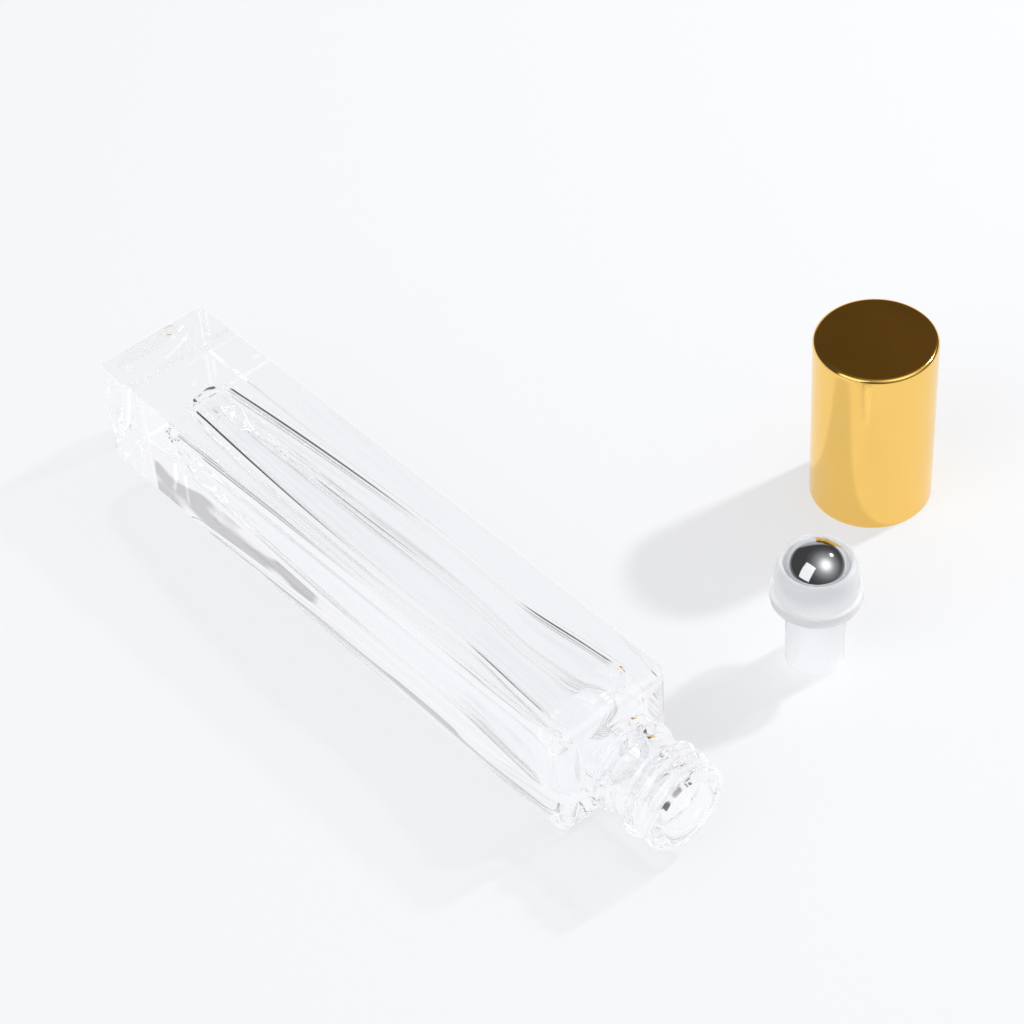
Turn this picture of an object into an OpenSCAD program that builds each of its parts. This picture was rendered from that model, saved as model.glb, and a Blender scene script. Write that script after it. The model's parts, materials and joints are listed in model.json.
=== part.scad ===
// Roll-on bottle: a square glass bottle with a screw neck, a press-in roller housing that holds a
// steel ball, and a metal cap with a threaded plastic liner. The bottle lies on one side, and the
// housing and the cap stand beside it, taken off as for filling.
// Lengths are in millimetres. X runs along the bottle from its foot to its neck, Z is up, and the
// origin is the middle of the side that the bottle lies on.

/* [Bottle body] */
// Width of the square body across its flats
body_w = 17.2; // [15:0.1:24]
// Length of the body from its foot to its shoulder
body_length = 93.7; // [70:0.1:140]
// Radius of the body's four long edges
edge_r = 0.5; // [0.3:0.1:1.4]
// Radius of the edges round the foot
foot_edge_r = 1.5; // [0.3:0.1:1.7]
// Radius of the edges round the shoulder
shoulder_edge_r = 1.9; // [0.3:0.1:2]
// Thickness of the solid glass foot under the cavity
foot_t = 10.3; // [6:0.1:20]
// Depth of the dish in the foot
dish_depth = 1; // [0.3:0.1:1.5]
// Diameter of the dish in the foot
dish_d = 13.6; // [8:0.2:14.4]

/* [Cavity] */
// Wall of the body beside the cavity's nose
wall_foot = 4.4; // [3:0.1:5.5]
// Wall of the body halfway along
wall_mid = 2.4; // [1.6:0.1:3.2]
// Wall of the body just under the shoulder
wall_top = 1.8; // [1.2:0.1:2.5]
// How far the cavity draws in between its middle and the shoulder
waist_depth = 0.7; // [0:0.05:0.8]
// Length of the cavity's rounded nose
nose_l = 5.3; // [2:0.1:6]
// Length over which the cavity draws in under the shoulder
inner_shoulder_l = 4; // [2.5:0.1:6]
// Thickness of the glass between the cavity's end and the shoulder
shoulder_t = 1.9; // [1:0.1:3]

/* [Neck] */
// Length of the neck from the shoulder to the lip
neck_l = 12; // [11.5:0.1:14]
// Diameter of the neck between its threads
neck_d = 11.3; // [10.9:0.1:11.6]
// Diameter of the bore through the neck
bore_d = 7.5; // [7.1:0.1:7.9]
// Outer diameter of the lip
lip_d = 12.2; // [12:0.1:12.6]
// Height of the lip band
lip_h = 1.4; // [1.2:0.1:1.6]
// Radius of the lip's outer edge
lip_round = 0.7; // [0.3:0.1:0.9]
// Chamfer at the mouth of the bore
bore_chamfer = 0.6; // [0.2:0.1:0.8]
// Diameter of the bead at the root of the neck
bead_d = 12.7; // [12.2:0.1:13]
// Radius of the bead's section
bead_r = 1.3; // [1:0.1:1.5]
// Distance from the shoulder to the middle of the bead
bead_x = 2.6; // [1.8:0.1:3]

/* [Thread] */
// Diameter over the neck's thread
thread_d = 13.1; // [12.8:0.1:13.5]
// Rise of the thread in one turn
thread_pitch = 2.1; // [1.8:0.1:2.4]
// Distance from the shoulder to the start of the neck's thread
thread_start = 6.1; // [5.8:0.1:6.5]
// Turns of the thread on the neck
neck_turns = 1.8; // [1:0.1:2]
// Turns of the thread in the cap
cap_turns = 1.4; // [1:0.1:2]
// Radial clearance between the neck's thread and the cap's bore
thread_gap = 0.2; // [0.1:0.05:0.3]
// Radial clearance between the lip and the cap's thread, which passes over it
lip_gap = 0.1; // [0.05:0.01:0.15]

/* [Roller] */
// Diameter of the steel ball
ball_d = 9; // [8.8:0.1:9.3]
// Diameter of the mouth that holds the ball in
mouth_d = 8.4; // [8.1:0.1:8.5]
// Radial gap between the ball and its socket
ball_gap = 0.07; // [0.04:0.01:0.1]
// Outer diameter of the housing's dome
dome_d = 10.7; // [10.5:0.1:11]
// Height of the ball's centre over the foot of the stem
ball_z = 15.1; // [14.8:0.1:16]
// Length of the stem that presses into the neck
stem_l = 11.1; // [10:0.1:11.6]
// Interference of the stem in the bore, on the diameter
stem_press = 0.1; // [0.05:0.01:0.15]
// Wall of the stem
stem_wall = 0.75; // [0.6:0.05:0.8]
// Chamfer at the foot of the stem
stem_lead = 0.4; // [0.2:0.1:0.6]
// Diameter of the flange that seats on the lip
flange_d = 11.7; // [11.2:0.1:12]
// Thickness of the flange
flange_t = 1.7; // [1.2:0.1:2]
// Radius of the flange's edges
flange_round = 0.3; // [0.1:0.05:0.5]

/* [Cap] */
// Wall of the cap's liner
liner_wall = 1.02; // [0.6:0.02:1.4]
// Height of the cap
cap_h = 26.3; // [25:0.1:32]
// Thickness of the metal shell
shell_t = 0.35; // [0.2:0.05:0.45]
// Radius of the shell's top edge
shell_round = 0.6; // [0.5:0.05:1]
// Radial gap between the shell and its liner
liner_gap = 0.04; // [0.02:0.01:0.08]
// Thickness of the liner's top
liner_top_t = 1.3; // [0.8:0.1:1.6]
// How far the liner stays inside the shell's open end
liner_recess = 0.5; // [0.3:0.1:1]
// Chamfer at the liner's mouth
liner_lead = 0.4; // [0.2:0.1:0.5]
// Gap between the closed cap and the bottle's shoulder
seat_gap = 0.4; // [0.2:0.1:0.8]
// Outer diameter of the ring that presses on the ball when the cap is closed
press_ring_d = 6.2; // [5:0.2:7]
// Thickness of that ring
press_ring_t = 0.8; // [0.5:0.1:1.2]

/* [Places on the table] */
// Place of the roller housing along the bottle, from the middle of the body
plug_x = 46.4; // [20:0.1:50]
// Place of the roller housing across the bottle
plug_y = 34; // [25:0.1:40]
// Place of the cap along the bottle, from the middle of the body
cap_x = 29.8; // [0:0.1:50]
// Place of the cap across the bottle
cap_y = 61.2; // [50:0.1:90]

/* [Hidden] */

// How far a cut runs past the surface that it opens
overrun = 1;
arc_fn = 48;
axis_z = body_w / 2;
foot_x = -body_length / 2;

// Cavity: stations along the body, each with its half width and the squareness of its section
cavity_foot_half = body_w / 2 - wall_foot;
cavity_mid_half = body_w / 2 - wall_mid;
cavity_top_half = body_w / 2 - wall_top;
cavity_main_start = foot_t + nose_l;
cavity_end = body_length - shoulder_t;
cavity_main_end = cavity_end - inner_shoulder_l;
cavity_end_share = 0.8;
cavity_end_half = cavity_end_share * bore_d / 2;
// Powers of the curves along which the cavity opens, first from its nose and then to its shoulder
opening_power = 3;
flare_power = 12;
// Powers that set the waist's place along the cavity and how short it is
waist_place_power = 2.5;
waist_power = 4;
// Powers of the section's outline: 2 is a circle, and more is nearer a square
nose_squareness = 2.6;
main_squareness = 4.6;
mouth_squareness = 2;
nose_steps = 6;
main_steps = 14;
shoulder_steps = 6;
section_points = 32;

// Thread: a ridge with sloping sides, sunk a little into the wall that carries it
ridge_base_w = 1.5;
ridge_crest_w = 0.6;
ridge_sink = 0.4;
ridge_steps_per_turn = 30;
ridge_fade_share = 0.12;
ridge_end_share = 0.15;

ball_r = ball_d / 2;
socket_r = ball_r + ball_gap;
// The mouth's lip is round, with half of the dome's wall as its radius
mouth_round = (dome_d / 2 - socket_r) / 2;
mouth_ring_r = mouth_d / 2 + mouth_round;
mouth_ring_z = ball_z + sqrt(pow(socket_r + mouth_round, 2) - pow(mouth_ring_r, 2));
stem_r = (bore_d + stem_press) / 2;
duct_r = stem_r - stem_wall;
flange_z = stem_l;

liner_bore_r = thread_d / 2 + thread_gap;
liner_r = liner_bore_r + liner_wall;
cap_r = liner_r + liner_gap + shell_t;
cap_thread_r = lip_d / 2 + lip_gap;
liner_top_z = cap_h - shell_t;
liner_ceiling_z = liner_top_z - liner_top_t;
// The cap's thread starts half a turn up from the neck's, so that the two ridges lie side by side
cap_thread_z = thread_start + thread_pitch / 2 - seat_gap;
press_ring_r = press_ring_d / 2;
press_ring_mid_r = press_ring_r - press_ring_t / 2;
ball_drop = ball_r - sqrt(pow(ball_r, 2) - pow(press_ring_mid_r, 2));
press_ring_z = neck_l - stem_l + ball_z + ball_r - ball_drop - seat_gap;

function power(x, p) = sign(x) * pow(abs(x), p);

function section_point(a, half, squareness) =
    [half * power(cos(a), 2 / squareness), half * power(sin(a), 2 / squareness)];

function opened_half(u) =
    cavity_foot_half
    + (cavity_mid_half - cavity_foot_half) * (1 - pow(1 - u, opening_power))
    - waist_depth * pow(sin(180 * pow(u, waist_place_power)), waist_power)
    + (cavity_top_half - cavity_mid_half) * pow(u, flare_power);

function nose_station(t) =
    [foot_t + nose_l * (1 - cos(t)), cavity_foot_half * sin(t), nose_squareness];

function main_station(u) =
    [cavity_main_start + u * (cavity_main_end - cavity_main_start),
     opened_half(u),
     nose_squareness + (main_squareness - nose_squareness) * u];

function shoulder_station(t) =
    [cavity_main_end + inner_shoulder_l * sin(t),
     cavity_end_half + (cavity_top_half - cavity_end_half) * cos(t),
     mouth_squareness + (main_squareness - mouth_squareness) * cos(t)];

function cavity_stations() = concat(
    [for (i = [1:nose_steps]) nose_station(90 * i / nose_steps)],
    [for (i = [1:main_steps]) main_station(i / main_steps)],
    [for (i = [1:shoulder_steps]) shoulder_station(90 * i / shoulder_steps)]);

// Lays what is drawn upright along the bottle, a distance from its foot
module along_bottle(x) {
    translate([foot_x + x, 0, axis_z])
        rotate([0, 90, 0])
            children();
}

module rounded_rect(w, h, r) {
    square([w - 2 * r, h], center = true);
    square([w, h - 2 * r], center = true);
    for (x = [-1, 1], y = [-1, 1])
        translate([x * (w / 2 - r), y * (h / 2 - r)])
            circle(r, $fn = arc_fn);
}

// Outline of the body from one side, with the rounded edges of its foot and of its shoulder
module body_side() {
    translate([foot_edge_r - body_length / 2, -body_w / 2])
        square([body_length - foot_edge_r - shoulder_edge_r, body_w]);
    body_end(foot_edge_r);
    mirror([1, 0])
        body_end(shoulder_edge_r);
}

// One half of that outline between its rounded corners, and the two corners
module body_end(r) {
    translate([-body_length / 2, r - body_w / 2])
        square([body_length / 2, body_w - 2 * r]);
    for (y = [-1, 1])
        translate([r - body_length / 2, y * (body_w / 2 - r)])
            circle(r, $fn = arc_fn);
}

// The square body with all of its edges rounded
module glass_block() {
    translate([0, 0, axis_z])
        intersection() {
            rotate([0, 90, 0])
                linear_extrude(body_length, center = true)
                    rounded_rect(body_w, body_w, edge_r);
            rotate([90, 0, 0])
                linear_extrude(body_w, center = true)
                    body_side();
            linear_extrude(body_w, center = true)
                body_side();
        }
}

// Neck, bead and lip as a profile of radius and distance from the shoulder
module neck_profile() {
    translate([0, -shoulder_t / 2])
        square([neck_d / 2, neck_l - lip_h + shoulder_t]);
    translate([bead_d / 2 - bead_r, bead_x])
        circle(bead_r, $fn = arc_fn);
    translate([0, neck_l - lip_h])
        square([lip_d / 2, lip_h - lip_round]);
    translate([0, neck_l - lip_h])
        square([lip_d / 2 - lip_round, lip_h]);
    translate([lip_d / 2 - lip_round, neck_l - lip_round])
        circle(lip_round, $fn = arc_fn);
}

// A helical ridge round the Z axis, outside a neck or, with a crest smaller than its root, in a bore
module thread_ridge(root_r, crest_r, turns) {
    side = sign(crest_r - root_r);
    buried_r = root_r - side * ridge_sink;
    steps = ceil(turns * ridge_steps_per_turn);
    fade = ceil(steps * ridge_fade_share);
    rise = [for (i = [0:steps]) min(1, i / fade, (steps - i) / fade)];
    tips = [for (k = rise) buried_r + (crest_r - buried_r) * max(k, ridge_end_share)];
    corners = [for (i = [0:steps])
        [[buried_r, -side * ridge_base_w / 2], [tips[i], -side * ridge_crest_w / 2],
         [tips[i], side * ridge_crest_w / 2], [buried_r, side * ridge_base_w / 2]]];
    points = [for (i = [0:steps], c = corners[i])
        let (a = 360 * turns * i / steps)
        [c[0] * cos(a), c[0] * sin(a), c[1] + thread_pitch * turns * i / steps]];
    sides = [for (i = [0:steps - 1], j = [0:3])
        let (a = 4 * i + j, b = 4 * i + (j + 1) % 4)
        each [[a, b, b + 4], [a, b + 4, a + 4]]];
    last = 4 * steps;
    ends = [[3, 2, 1], [3, 1, 0], [last, last + 1, last + 2], [last, last + 2, last + 3]];
    polyhedron(points, concat(sides, ends), convexity = 4);
}

// The space inside the body, drawn along the Z axis from the foot
module cavity() {
    stations = cavity_stations();
    n = section_points;
    points = concat(
        [[0, 0, foot_t]],
        [for (s = stations, j = [0:n - 1])
            let (p = section_point(360 * (j + 0.5) / n, s[1], s[2]))
            [p[0], p[1], s[0]]]);
    nose = [for (j = [0:n - 1]) [0, 1 + j, 1 + (j + 1) % n]];
    sides = [for (i = [0:len(stations) - 2], j = [0:n - 1])
        let (a = 1 + n * i + j, b = 1 + n * i + (j + 1) % n)
        each [[a, a + n, b + n], [a, b + n, b]]];
    last = 1 + n * (len(stations) - 1);
    end = [for (j = [n - 1:-1:0]) last + j];
    polyhedron(points, concat(nose, sides, [end]), convexity = 4);
}

// A shallow dish cut as part of a large ball that stands off the foot
module foot_dish() {
    dish_r = (pow(dish_d / 2, 2) + pow(dish_depth, 2)) / (2 * dish_depth);
    translate([0, 0, dish_depth - dish_r])
        sphere(dish_r, $fn = arc_fn);
}

module glass_bottle() {
    bore_start = cavity_end - inner_shoulder_l / 2;
    mouth = body_length + neck_l;
    color([0.86, 0.91, 0.92, 0.45])
        difference() {
            union() {
                glass_block();
                along_bottle(body_length)
                    rotate_extrude($fn = 2 * arc_fn)
                        neck_profile();
                along_bottle(body_length + thread_start)
                    thread_ridge(neck_d / 2, thread_d / 2, neck_turns);
            }
            along_bottle(0)
                cavity();
            along_bottle(bore_start)
                cylinder(h = mouth - bore_start + overrun, d = bore_d, $fn = 2 * arc_fn);
            along_bottle(mouth - bore_chamfer)
                cylinder(h = 2 * bore_chamfer, d1 = bore_d, d2 = bore_d + 4 * bore_chamfer, $fn = 2 * arc_fn);
            along_bottle(0)
                foot_dish();
        }
}

// Half section of the housing: stem, flange and dome, cut by the ball's socket and the duct
module housing_profile() {
    difference() {
        union() {
            polygon([[0, 0], [stem_r - stem_lead, 0], [stem_r, stem_lead],
                [stem_r, flange_z + flange_t / 2], [0, flange_z + flange_t / 2]]);
            translate([0, flange_z])
                square([flange_d / 2 - flange_round, flange_t]);
            translate([0, flange_z + flange_round])
                square([flange_d / 2, flange_t - 2 * flange_round]);
            for (z = [flange_round, flange_t - flange_round])
                translate([flange_d / 2 - flange_round, flange_z + z])
                    circle(flange_round, $fn = arc_fn);
            translate([0, flange_z])
                square([dome_d / 2, ball_z - flange_z]);
            intersection() {
                translate([0, ball_z])
                    circle(d = dome_d, $fn = 2 * arc_fn);
                translate([0, ball_z])
                    square([dome_d, mouth_ring_z - ball_z]);
            }
            translate([mouth_ring_r, mouth_ring_z])
                circle(mouth_round, $fn = arc_fn);
        }
        translate([0, ball_z])
            circle(socket_r, $fn = 2 * arc_fn);
        translate([-duct_r, -overrun])
            square([2 * duct_r, ball_z + overrun]);
        translate([-dome_d, -overrun])
            square([dome_d, ball_z + dome_d + overrun]);
    }
}

module roller_housing() {
    color([0.93, 0.94, 0.95])
        translate([plug_x, plug_y, 0])
            rotate_extrude($fn = 2 * arc_fn)
                housing_profile();
}

module steel_ball() {
    color([0.62, 0.63, 0.65])
        translate([plug_x, plug_y, ball_z])
            sphere(ball_r, $fn = 2 * arc_fn);
}

// Half section of the shell: a drawn cup with its closed end up
module shell_profile() {
    difference() {
        union() {
            square([cap_r, cap_h - shell_round]);
            square([cap_r - shell_round, cap_h]);
            translate([cap_r - shell_round, cap_h - shell_round])
                circle(shell_round, $fn = arc_fn);
        }
        translate([-overrun, -overrun])
            square([cap_r - shell_t + overrun, cap_h - shell_t + overrun]);
    }
}

module cap_shell() {
    color([0.85, 0.68, 0.33])
        translate([cap_x, cap_y, 0])
            rotate_extrude($fn = 2 * arc_fn)
                shell_profile();
}

// Half section of the liner: a plastic sleeve with a top and the ring that presses on the ball
module liner_profile() {
    polygon([[liner_bore_r + liner_lead, liner_recess], [liner_r, liner_recess],
        [liner_r, liner_top_z], [0, liner_top_z], [0, liner_ceiling_z],
        [press_ring_r - press_ring_t, liner_ceiling_z], [press_ring_r - press_ring_t, press_ring_z],
        [press_ring_r, press_ring_z], [press_ring_r, liner_ceiling_z],
        [liner_bore_r, liner_ceiling_z], [liner_bore_r, liner_recess + liner_lead]]);
}

module cap_liner() {
    color([0.9, 0.9, 0.88])
        translate([cap_x, cap_y, 0]) {
            rotate_extrude($fn = 2 * arc_fn)
                liner_profile();
            translate([0, 0, cap_thread_z])
                thread_ridge(liner_bore_r, cap_thread_r, cap_turns);
        }
}

glass_bottle();
roller_housing();
steel_ball();
cap_shell();
cap_liner();
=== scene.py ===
"""A roll-on bottle: a square glass bottle, its roller with a steel ball, and its gold cap.

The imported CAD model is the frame. Each of its five pieces is modelled again here with roundings and a
finish, in the frame's own places and in metres. The file is laid out as a Blender add-on and is run as a
script.
"""

import json
import math

import bmesh
import bpy
from bpy.props import FloatProperty, FloatVectorProperty, PointerProperty
from mathutils import Matrix, Vector


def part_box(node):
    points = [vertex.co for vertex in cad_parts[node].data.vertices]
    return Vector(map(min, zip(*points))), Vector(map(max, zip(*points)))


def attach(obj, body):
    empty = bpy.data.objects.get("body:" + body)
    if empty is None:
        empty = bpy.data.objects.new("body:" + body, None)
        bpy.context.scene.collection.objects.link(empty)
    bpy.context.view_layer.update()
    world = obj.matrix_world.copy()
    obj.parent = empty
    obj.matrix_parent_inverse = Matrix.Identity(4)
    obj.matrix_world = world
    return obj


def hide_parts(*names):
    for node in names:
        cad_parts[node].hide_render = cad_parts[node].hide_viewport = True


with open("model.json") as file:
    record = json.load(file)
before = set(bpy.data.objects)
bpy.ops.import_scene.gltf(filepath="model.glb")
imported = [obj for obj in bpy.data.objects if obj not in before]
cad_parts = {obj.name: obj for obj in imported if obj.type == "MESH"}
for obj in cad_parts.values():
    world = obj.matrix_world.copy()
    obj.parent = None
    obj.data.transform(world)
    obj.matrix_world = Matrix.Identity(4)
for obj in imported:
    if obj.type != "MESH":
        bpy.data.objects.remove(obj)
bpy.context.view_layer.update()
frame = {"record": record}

bl_info = {
    "name": "Roll-on bottle",
    "version": (1, 0, 0),
    "blender": (4, 5, 0),
    "location": "3D View > Sidebar > Roll-on bottle",
    "description": "Builds a square glass roll-on bottle with its roller, ball and cap",
    "category": "Add Mesh",
}

MM = 0.001

# Points round each ring of the bottle and the liner: a quarter has flats, a rounded corner and flats
FLAT_POINTS = 11
CORNER_POINTS = 11
QUARTER_POINTS = 2 * FLAT_POINTS - 1 + CORNER_POINTS
RING_POINTS = 4 * QUARTER_POINTS
# Rings along each stretch of the bottle and of the liner
DISH_RINGS = 24
SIDE_RINGS = 14
NECK_RINGS = 76
BORE_RINGS = 8
INNER_SHOULDER_RINGS = 12
CAVITY_RINGS = 44
NOSE_RINGS = 16
LINER_THREAD_RINGS = 34
# A ring this small is drawn in to one point, which closes a pole
POLE_RADIUS = 0.01 * MM
# How near a rounding a flat face has a row of points, so that it stays flat when it is shaded smooth
EDGE_GUARD = 0.12 * MM
# Points nearer than this are one point
MERGE_DISTANCE = 0.0005 * MM
TURN_STEPS = 128
ARC_STEPS = 8
BALL_SUBDIVISIONS = 6
# Part of a turn over which each end of a thread rises
THREAD_FADE = 0.25
# Squareness of the cavity's rings: 2 is a circle, and more is nearer a square
ROUND, SQUARE_NOSE, SQUARE_BODY = 2, 2.6, 4.6

LIGHT_BOUNCES = 96
SENSOR_WIDTH = 36
FLOOR_RADIUS = 4
FLOOR_DEPTH = 0.02 * MM
# Distances between which the floor passes over into the backdrop
FADE_START, FADE_END = 0.25, 0.8
LAMP_DISTANCE = 0.8
KEY_DIRECTION, KEY_SIZE = (0.163, 0.734, 0.66), (0.05, 0.05)
FILL_DIRECTION, FILL_SIZE = (0.04, -0.74, 0.68), (0.55, 0.75)

# The studio that metal and glass show. Its shades are pairs: for the ceiling the height of a direction, and
# for a patch the cosine of the angle to the patch's own direction, each with a grey.
CEILING = [(0.0, 0.6), (0.1, 0.2), (0.2, 0.075), (1.0, 0.075)]
FAR_WALL = (-0.765, 0.642, 0.05), [(0.0, 0.0), (0.88, 0.0), (0.94, 0.5), (1.0, 0.6)]
LAMP_GLOW = (0.466, 0.175, 0.867), [
    (0.0, 0.0), (0.42, 0.0), (0.643, 0.04), (0.766, 0.12), (0.866, 0.22), (0.927, 0.4), (0.966, 0.7),
    (0.99, 1.0),
]
LAMP_GLOW_STRENGTH = 1.6
PALE_WALL = 0.93
# The patches that draw the dark lines in the glass: a strip that ends in an edge, and three round ones
STRIP = (-0.6, 0.33, 0.72), [(0.0, 0.0), (0.93, 0.0), (0.97, 1.0)]
STRIP_EDGE = (-0.03008, -0.89637, 0.44228), [
    (0.0, PALE_WALL), (0.0015, 0.48), (0.02, 0.55), (0.11, 0.6), (0.2, PALE_WALL),
]
NEAR_LINE = (-0.78, -0.55, 0.2), [(0.0, 1.0), (0.96, 1.0), (0.986, 0.12), (1.0, 0.06)]
BOTTOM_LINE = (-0.79, 0.03, 0.61), [(0.0, 1.0), (0.955, 1.0), (0.982, 0.45), (1.0, 0.4)]
FAR_LINE = (-0.77, 0.6, 0.2), [(0.0, 1.0), (0.97, 1.0), (0.988, 0.2), (1.0, 0.12)]


def length(name, description, millimetres):
    """A size that a user may change, kept in metres."""
    return FloatProperty(
        name=name, description=description, default=millimetres * MM, min=0, unit="LENGTH", precision=5
    )


def share(name, description, default, most=1.0):
    """A number from zero to most."""
    return FloatProperty(name=name, description=description, default=default, min=0, max=most, precision=3)


def degrees(name, description, default):
    """An angle that is written in degrees."""
    return FloatProperty(name=name, description=description, default=math.radians(default), subtype="ANGLE")


def colour(name, description, default):
    """A colour in Blender's linear values."""
    return FloatVectorProperty(
        name=name, description=description, default=default, size=3, min=0, max=1, subtype="COLOR"
    )


class BottleSettings(bpy.types.PropertyGroup):
    """Sizes and finish of the glass bottle"""

    edge_radius: length("Edge radius", "Rounding of the body's four long edges", 0.5)
    foot_edge_radius: length("Foot edge radius", "Rounding of the edges round the foot", 1.5)
    shoulder_edge_radius: length("Shoulder edge radius", "Rounding of the edges round the shoulder", 1.9)
    foot_thickness: length("Foot thickness", "Solid glass under the cavity", 10.3)
    dish_diameter: length("Dish diameter", "Width of the dish in the foot", 13.6)
    dish_depth: length("Dish depth", "Depth of the dish in the foot", 1)
    wall_foot: length("Wall at the nose", "Glass beside the cavity's rounded nose", 4.4)
    wall_middle: length("Wall halfway", "Glass beside the cavity halfway along", 2.4)
    wall_top: length("Wall at the shoulder", "Glass beside the cavity's wide end", 1.8)
    waist_depth: length("Waist depth", "How far the cavity draws in before the shoulder", 0.7)
    nose_length: length("Nose length", "Length of the cavity's rounded nose", 5.3)
    inner_shoulder: length("Inner shoulder", "Length over which the cavity draws in", 4)
    shoulder_thickness: length("Shoulder thickness", "Glass between the cavity's end and the shoulder", 1.9)
    neck_length: length("Neck length", "From the shoulder to the lip", 12)
    neck_diameter: length("Neck diameter", "Neck between its threads", 11.3)
    bead_diameter: length("Bead diameter", "Bead at the root of the neck", 12.7)
    bead_radius: length("Bead radius", "Radius of the bead's section", 1.3)
    bead_place: length("Bead place", "From the shoulder to the middle of the bead", 2.6)
    lip_diameter: length("Lip diameter", "Band round the mouth", 12.2)
    lip_height: length("Lip height", "Height of the band round the mouth", 1.4)
    lip_radius: length("Lip radius", "Rounding of the lip's outer edge", 0.7)
    mouth_radius: length("Mouth radius", "Rounding of the lip's inner edge", 0.6)
    thread_diameter: length("Thread diameter", "Neck over its thread", 13.1)
    thread_pitch: length("Thread pitch", "Rise of the thread in one turn", 2.1)
    thread_start: length("Thread start", "From the shoulder to the start of the thread", 6.1)
    thread_width: length("Thread width", "Width of the thread at its root", 1.82)
    thread_turns: share("Thread turns", "Turns of the thread", 1.8, 4)
    tint: colour("Glass colour", "Faint cool tint of the glass", (0.985, 0.987, 0.995))
    ripple: share("Ripple", "Unevenness of the pressed glass", 0.25)
    shadow: share("Shadow", "Part of a lamp's light that each surface keeps off the floor", 0.1)


class RollerSettings(bpy.types.PropertyGroup):
    """Sizes and finish of the roller housing and its ball"""

    dome_diameter: length("Dome diameter", "Housing round the ball", 10.7)
    ball_gap: length("Ball gap", "Gap between the ball and its socket", 0.07)
    mouth_diameter: length("Mouth diameter", "Mouth that holds the ball in", 8.4)
    stem_length: length("Stem length", "Stem that presses into the neck", 11.1)
    stem_wall: length("Stem wall", "Wall of the stem", 0.75)
    stem_lead: length("Stem lead", "Slope at the foot of the stem", 0.4)
    flange_thickness: length("Flange thickness", "Ring that seats on the lip", 1.7)
    flange_radius: length("Flange radius", "Rounding of the flange's edges", 0.3)
    milk: colour("Milky plastic", "Colour of the moulded housing", (0.985, 0.99, 1.0))
    # Painted glow: the plastic gives off light of its own, which brightens its shaded side
    painted_glow: share("Inner light", "Light that leaves the plastic all round", 0.022)
    body: share("Milkiness", "How little each surface shows of what lies behind it", 0.28)
    steel: colour("Steel", "Colour of the polished ball", (0.62, 0.63, 0.65))


class CapSettings(bpy.types.PropertyGroup):
    """Sizes and finish of the cap's shell and liner"""

    shell_thickness: length("Shell thickness", "Wall of the metal shell", 0.35)
    shell_radius: length("Shell radius", "Rounding of the shell's top edge", 0.6)
    liner_bore: length("Liner bore", "Inside of the liner between its threads", 13.5)
    liner_thread: length("Liner thread", "Inside of the liner's thread", 12.4)
    thread_place: length("Thread place", "From the shell's mouth to the start of the thread", 6.75)
    thread_turns: share("Thread turns", "Turns of the thread in the liner", 1.4, 4)
    top_thickness: length("Liner top", "Thickness of the liner's top", 1.3)
    lead: length("Liner lead", "Slope at the liner's mouth", 0.4)
    ring_diameter: length("Ring diameter", "Ring that presses on the ball", 6.2)
    ring_thickness: length("Ring thickness", "Wall of that ring", 0.8)
    ring_end: length("Ring end", "From the shell's mouth to the end of that ring", 19.2)
    gold: colour("Gold", "Colour of the bright gold shell", (1.0, 0.64, 0.17))
    # Painted shade: a darker, deeper gold for the faces that point up, standing in for the dark ceiling they
    # reflect
    painted_top_shade: colour("Gold top", "Colour of the shell where it faces up", (1.0, 0.47, 0.07))
    liner: colour("Liner", "Colour of the white plastic liner", (0.78, 0.78, 0.75))


class StageSettings(bpy.types.PropertyGroup):
    """Camera, floor and lights"""

    target_x: length("Target X", "Point that the camera looks at, along the bottle", 0.11)
    target_y: length("Target Y", "Point that the camera looks at, across the bottle", 23.3)
    camera_distance: length("Camera distance", "From that point to the camera", 424)
    camera_azimuth: degrees("Camera azimuth", "Angle of the camera round the object", 51.58)
    camera_elevation: degrees("Camera elevation", "Angle of the camera over the floor", 45.12)
    camera_roll: degrees("Camera roll", "Lean of the picture", -4.11)
    lens: share("Lens", "Focal length in millimetres on a 36 mm sensor", 111.27, 400)
    floor: colour("Floor", "Colour of the pale floor", (0.925, 0.935, 0.95))
    backdrop: colour("Backdrop", "Colour that shows behind the object", (0.965, 0.975, 0.995))
    glow: share("Floor glow", "How much of the floor's colour doesn't depend on the light", 0.55)
    glass_glow: share("Floor glow through glass", "The same where the floor is seen through the glass", 0.93)
    ambient: share("Ambient", "Even light from all round", 0.5)
    key_power: share("Key power", "Power of the small lamp behind the object, in watts", 3.2, 100)
    fill_power: share("Fill power", "Power of the wide lamp beside the camera, in watts", 1.7, 100)


def ring_outline(half, radius):
    """Points round a square with rounded corners, with rows beside each corner that keep the flats flat."""
    flat = half - radius
    steps = [flat * i / (FLAT_POINTS - 2) for i in range(FLAT_POINTS - 2)]
    steps += [flat - 1.5 * EDGE_GUARD, flat - 0.5 * EDGE_GUARD]
    quarter = [(half, step) for step in steps]
    for i in range(CORNER_POINTS):
        angle = math.pi / 2 * i / (CORNER_POINTS - 1)
        quarter.append((flat + radius * math.cos(angle), flat + radius * math.sin(angle)))
    quarter += [(step, half) for step in reversed(steps[1:])]
    outline = []
    for turn in range(4):
        c, s = round(math.cos(math.pi / 2 * turn)), round(math.sin(math.pi / 2 * turn))
        outline += [(c * a - s * b, s * a + c * b) for a, b in quarter]
    return outline


def ring_angles():
    """Even angles for the round rings, which have as many points as the square ones."""
    return [2 * math.pi * i / RING_POINTS for i in range(RING_POINTS)]


def round_ring(radius):
    """Points round a circle, or round a line that a function of the angle gives."""
    radius_at = radius if callable(radius) else lambda angle: radius
    return [(radius_at(a) * math.cos(a), radius_at(a) * math.sin(a)) for a in ring_angles()]


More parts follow.
